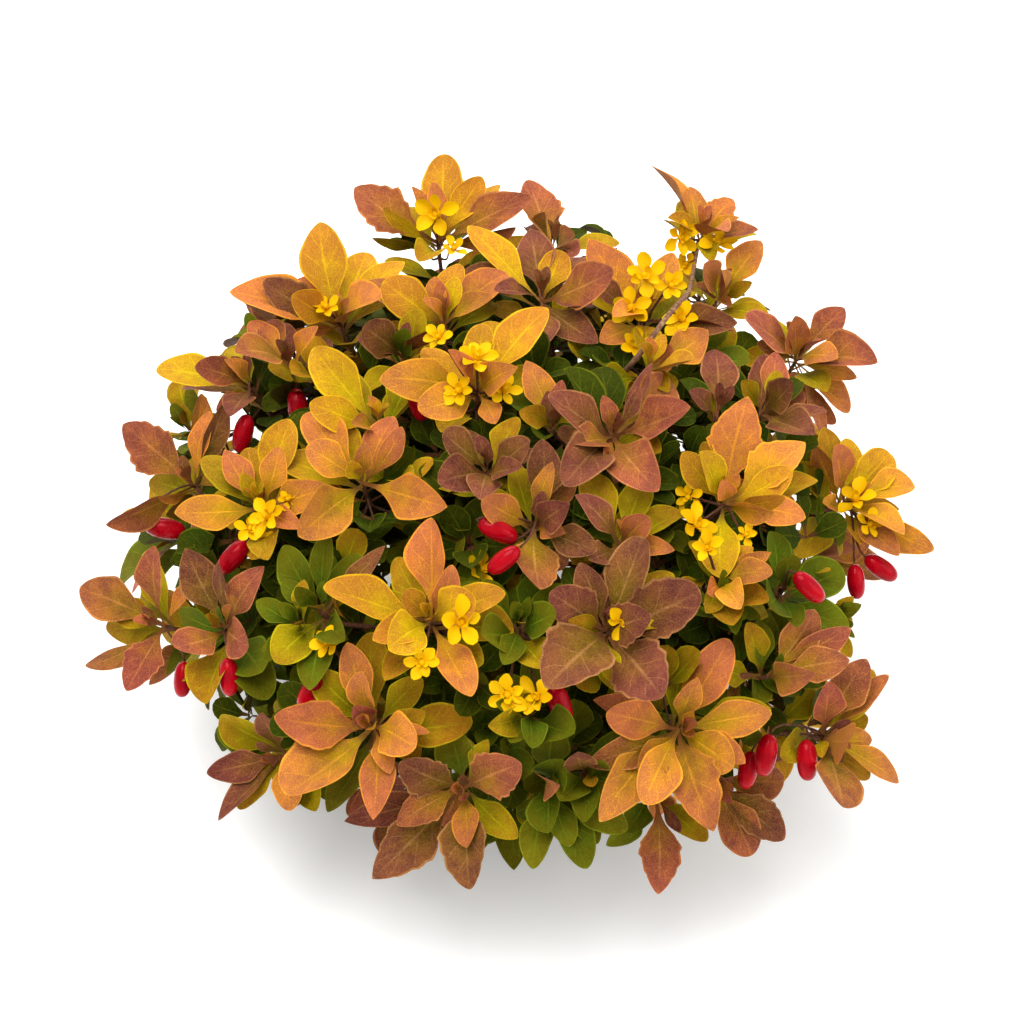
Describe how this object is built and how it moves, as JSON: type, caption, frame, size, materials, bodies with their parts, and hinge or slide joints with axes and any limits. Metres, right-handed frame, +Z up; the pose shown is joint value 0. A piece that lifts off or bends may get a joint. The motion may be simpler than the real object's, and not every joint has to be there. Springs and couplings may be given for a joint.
{
  "type": "japanese barberry shrub",
  "caption": "Low, rounded barberry shrub in autumn colour: a short stem, arching boughs and rosettes of spoon-shaped leaves with red berries and yellow flowers.",
  "frame": {"origin": "centre of the flat cut under the main stem, at ground level", "axes": "+Z up, the cut's outward normal is -Z; -Y is the side that the picture was taken from, +X is to its right"},
  "size_m": [0.2311, 0.2351, 0.136],
  "materials": {
    "bark": "dark brown, finely furrowed young bark",
    "foliage_gold": "golden yellow autumn leaves",
    "foliage_apricot": "orange-pink autumn leaves",
    "foliage_rose": "dusky rose-brown autumn leaves",
    "foliage_mauve": "dark mauve to maroon autumn leaves",
    "foliage_olive": "olive leaves turning",
    "foliage_green": "dark green shaded leaves"
  },
  "bodies": {
    "root": {"bough_01": "bark", "bough_02": "bark", "bough_03": "bark", "bough_04": "bark", "bough_05": "bark", "bough_06": "bark", "bough_07": "bark", "bough_08": "bark", "bough_09": "bark", "bough_10": "bark", "bough_11": "bark", "bough_12": "bark", "bough_13": "bark", "foliage_centre_rose": "foliage_rose", "foliage_crest_dark": "foliage_mauve", "foliage_crest_gold": "foliage_gold", "foliage_far_left": "foliage_rose", "foliage_far_right": "foliage_gold", "foliage_flower_shoot": "foliage_apricot", "foliage_front_green": "foliage_green", "foliage_front_rose": "foliage_rose", "foliage_gold_shoulder": "foliage_gold", "foliage_gold_star": "foliage_gold", "foliage_left_apricot": "foliage_apricot", "foliage_left_flowers": "foliage_gold", "foliage_left_rose": "foliage_rose", "foliage_left_shoulder": "foliage_mauve", "foliage_low_01": "foliage_green", "foliage_low_02": "foliage_green", "foliage_low_03": "foliage_green", "foliage_low_04": "foliage_green", "foliage_low_05": "foliage_green", "foliage_low_06": "foliage_green", "foliage_low_07": "foliage_green", "foliage_low_left": "foliage_rose", "foliage_low_mauve": "foliage_mauve", "foliage_low_pink": "foliage_apricot", "foliage_low_right": "foliage_rose", "foliage_mauve_star": "foliage_mauve", "foliage_middle_flowers": "foliage_gold", "foliage_orange_star": "foliage_apricot", "foliage_right_gold": "foliage_gold", "foliage_right_green": "foliage_olive", "foliage_right_rose": "foliage_rose", "foliage_right_shoulder": "foliage_rose", "foliage_side_01": "foliage_apricot", "foliage_side_02": "foliage_olive", "foliage_side_03": "foliage_rose", "foliage_side_04": "foliage_gold", "foliage_side_05": "foliage_gold", "foliage_side_06": "foliage_olive", "foliage_side_07": "foliage_olive", "foliage_side_08": "foliage_gold", "foliage_side_09": "foliage_olive", "foliage_side_10": "foliage_gold", "foliage_side_11": "foliage_mauve", "foliage_tall_shoot": "foliage_rose", "foliage_upper_gold": "foliage_gold", "foliage_upper_mixed": "foliage_rose", "main_stem": "bark"}
  },
  "joints": []
}
